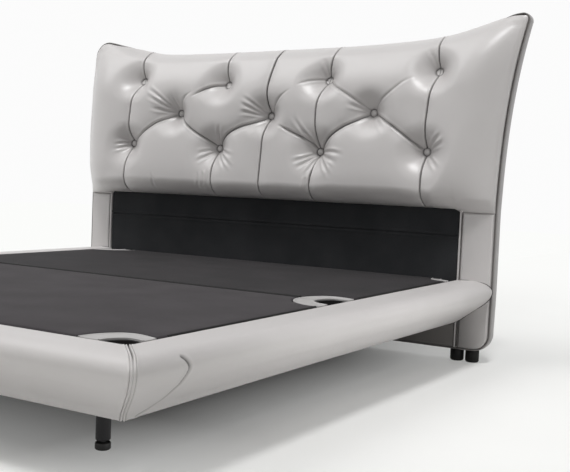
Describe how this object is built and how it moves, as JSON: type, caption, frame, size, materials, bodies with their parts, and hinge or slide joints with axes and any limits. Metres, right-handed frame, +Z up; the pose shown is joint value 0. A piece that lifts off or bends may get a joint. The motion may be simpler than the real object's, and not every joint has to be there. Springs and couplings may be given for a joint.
{
  "type": "double bed",
  "caption": "Low double bed with padded mitred rails, a tufted winged headboard, split dark deck panels with corner grips, and round black legs.",
  "frame": {"origin": "on the floor, in the middle of the bed's overall length and width", "axes": "+X across the bed to the right as seen from its foot, +Y from the foot towards the headboard, +Z up"},
  "size_m": [2.206, 2.247, 1.365],
  "materials": {
    "leather": "smooth light warm grey, soft sheen",
    "piping": "thin dark edge cord",
    "dark_fabric": "matt black cloth",
    "grey_fabric": "matt dark grey cloth",
    "wood": "plain plywood",
    "dark_wood": "dark stained plywood",
    "pale_grip": "pale grey, fine texture",
    "black_steel": "black powder coat",
    "black_glide": "black coated steel",
    "steel": "zinc plated",
    "black_plastic": "black, moulded"
  },
  "bodies": {
    "bed": {"edge_band": "leather", "edge_piping": "piping", "right_post_pad": "leather", "left_post_pad": "leather", "right_opening_welt": "leather", "left_opening_welt": "leather", "recess_panel": "dark_fabric", "lower_panel": "grey_fabric", "lower_board": "wood", "upper_board": "wood", "back_cover": "dark_fabric", "headboard_cushion": "leather", "right_rail_cover": "leather", "left_rail_cover": "leather", "foot_rail_cover": "leather", "right_rail_core": "dark_wood", "left_rail_core": "dark_wood", "foot_rail_core": "dark_wood", "right_foot_bracket": "steel", "left_foot_bracket": "steel", "right_head_bracket": "steel", "left_head_bracket": "steel", "front_bearer": "black_steel", "middle_bearer": "black_steel", "right_ledger": "dark_wood", "left_ledger": "dark_wood", "head_ledger": "dark_wood", "right_front_leg": "black_steel", "left_front_leg": "black_steel", "centre_leg": "black_steel", "right_rear_foot_inner": "black_plastic", "right_rear_foot_outer": "black_plastic", "left_rear_foot_inner": "black_plastic", "left_rear_foot_outer": "black_plastic", "tuft_button_01": "leather", "tuft_button_02": "leather", "tuft_button_03": "leather", "tuft_button_04": "leather", "tuft_button_05": "leather", "tuft_button_06": "leather", "tuft_button_07": "leather", "tuft_button_08": "leather", "tuft_button_09": "leather", "tuft_button_10": "leather", "tuft_button_11": "leather"},
    "head_panel": {"head_deck_board": "dark_wood", "head_deck_pad": "grey_fabric", "head_grip_right_near": "pale_grip", "head_grip_right_far": "pale_grip", "head_grip_left_far": "pale_grip", "head_grip_left_near": "pale_grip"},
    "foot_panel": {"foot_deck_board": "dark_wood", "foot_deck_pad": "grey_fabric", "foot_grip_right_near": "pale_grip", "foot_grip_right_far": "pale_grip", "foot_grip_left_far": "pale_grip", "foot_grip_left_near": "pale_grip"},
    "right_glide": {"right_front_glide": "black_glide"},
    "left_glide": {"left_front_glide": "black_glide"},
    "middle_glide": {"centre_glide": "black_glide"}
  },
  "joints": [
    {"name": "head_panel_lift", "type": "slide", "parent": "bed", "child": "head_panel", "axis": [0, 0, 1], "range_m": [0, 0.25]},
    {"name": "foot_panel_lift", "type": "slide", "parent": "bed", "child": "foot_panel", "axis": [0, 0, 1], "range_m": [0, 0.25]},
    {"name": "right_glide_screw", "type": "slide", "parent": "bed", "child": "right_glide", "axis": [0, 0, -1], "range_m": [0, 0.015]},
    {"name": "left_glide_screw", "type": "slide", "parent": "bed", "child": "left_glide", "axis": [0, 0, -1], "range_m": [0, 0.015]},
    {"name": "middle_glide_screw", "type": "slide", "parent": "bed", "child": "middle_glide", "axis": [0, 0, -1], "range_m": [0, 0.015]}
  ]
}
